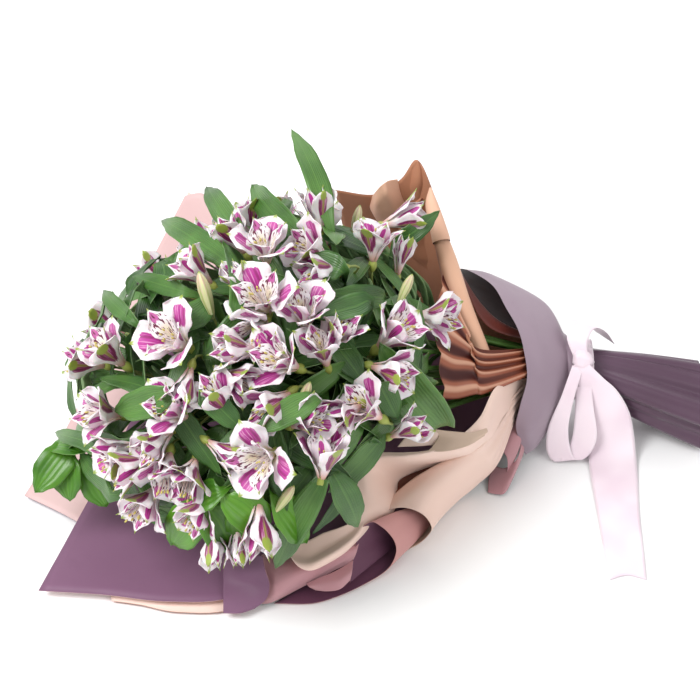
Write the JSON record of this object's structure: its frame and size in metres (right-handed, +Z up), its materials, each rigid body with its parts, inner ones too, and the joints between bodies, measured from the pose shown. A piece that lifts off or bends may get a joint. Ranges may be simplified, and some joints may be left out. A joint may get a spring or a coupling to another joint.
{
  "type": "alstroemeria bouquet",
  "caption": "Bouquet of striped alstroemeria blooms and greenery, wrapped in two-tone film and tied with a ribbon, lying on its side.",
  "frame": {"origin": "on the table under the middle of the flower head, on the underside of the lowest film", "axes": "+X along the stems from the flower head to the tail, +Y to the far side, +Z up"},
  "size_m": [0.6192, 0.5114, 0.2889],
  "materials": {
    "foliage": "matte white and magenta tepals on green stems and leaves",
    "greenery": "satin green leaves",
    "ribbon": "satin",
    "binding": "rough twine",
    "film_mauve": "matte film",
    "film_plum": "matte film",
    "film_copper": "matte film",
    "film_cream": "matte film",
    "film_pink": "matte film"
  },
  "bodies": {
    "root": {"greenery_front": "greenery", "greenery_left": "greenery", "ribbon": "ribbon", "stem_01": "foliage", "stem_02": "foliage", "stem_03": "foliage", "stem_04": "foliage", "stem_05": "foliage", "stem_06": "foliage", "stem_07": "foliage", "stem_08": "foliage", "stem_09": "foliage", "stem_10": "foliage", "stem_11": "foliage", "stem_12": "foliage", "stem_13": "foliage", "stem_14": "foliage", "stem_15": "foliage", "stem_16": "foliage", "stem_binding": "binding", "wrap_collar": "film_mauve", "wrap_copper_far": "film_copper", "wrap_copper_inner": "film_copper", "wrap_cream_base": "film_cream", "wrap_cream_near": "film_cream", "wrap_pink_base": "film_pink", "wrap_plum_base": "film_plum", "wrap_plum_flap": "film_plum", "wrap_plum_hem": "film_plum", "wrap_plum_roll": "film_pink", "wrap_plum_scroll": "film_plum", "wrap_tail": "film_plum"}
  },
  "joints": []
}
